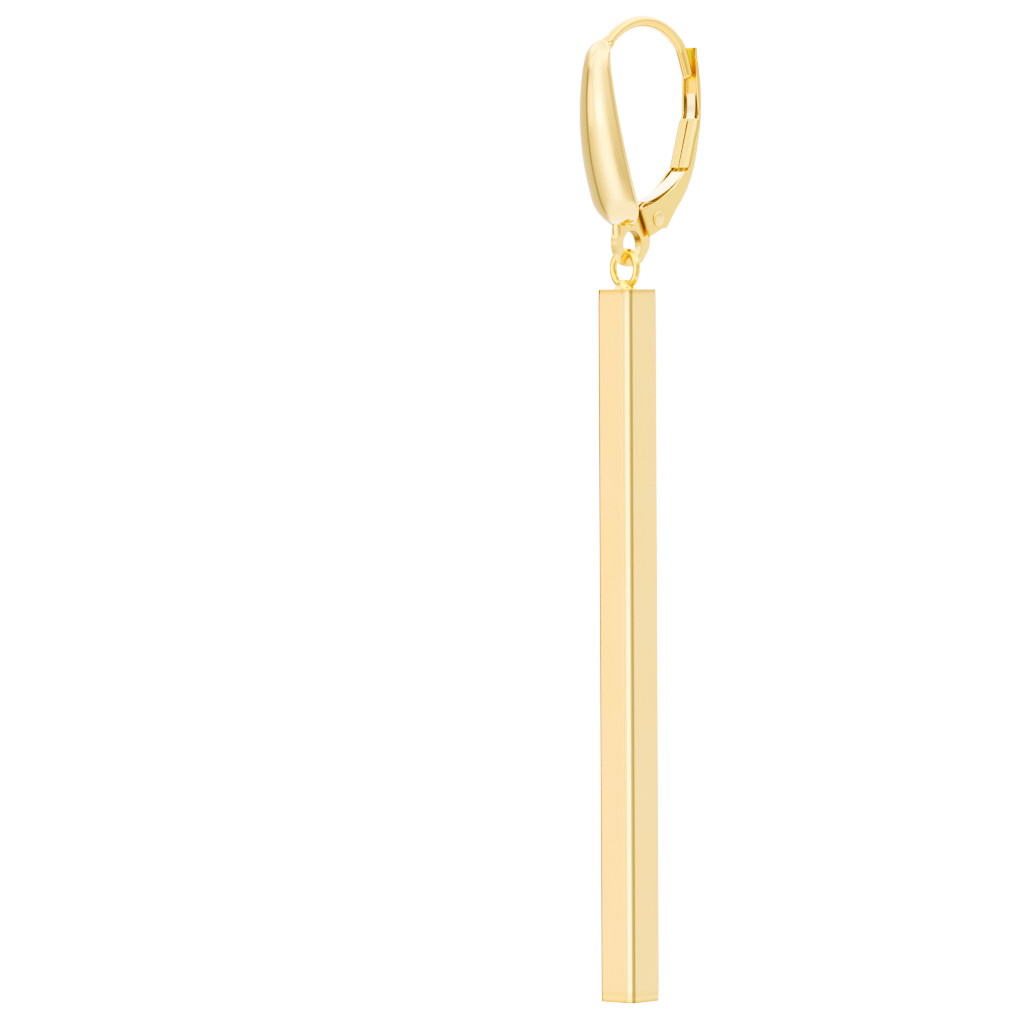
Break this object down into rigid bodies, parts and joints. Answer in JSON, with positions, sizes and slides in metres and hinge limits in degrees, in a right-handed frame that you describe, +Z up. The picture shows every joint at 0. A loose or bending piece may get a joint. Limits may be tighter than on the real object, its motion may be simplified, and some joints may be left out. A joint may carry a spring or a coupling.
{
  "type": "dangle earring",
  "caption": "Long bar dangle earring: domed teardrop front with an ear wire and hinged lever back, and a closed square tube hanging from it by a round ring.",
  "frame": {"origin": "on the ear wire's centreline at the top of its arch, where the earring hangs in the ear lobe", "axes": "+Z up along the hanging bar, -Y towards the front of the domed drop, +Y towards the lever, X across the thin width"},
  "size_m": [0.0042, 0.0119, 0.0723],
  "materials": {
    "polished_gold": "polished 14 carat yellow gold"
  },
  "bodies": {
    "hook": {"ear_hook": "polished_gold"},
    "lever": {"lever": "polished_gold", "lever_spring": "polished_gold", "hinge_rivet": "polished_gold"},
    "drop": {"bar_drop": "polished_gold"}
  },
  "joints": [
    {"name": "lever_hinge", "type": "hinge", "parent": "hook", "child": "lever", "pos_m": [0, 0.00079, -0.01447], "axis": [-1, 0, 0], "range_deg": [0, 65]},
    {"name": "drop_swing", "type": "hinge", "parent": "hook", "child": "drop", "pos_m": [0, -0.002, -0.01682], "axis": [1, 0, 0], "range_deg": [-65, 65]}
  ]
}
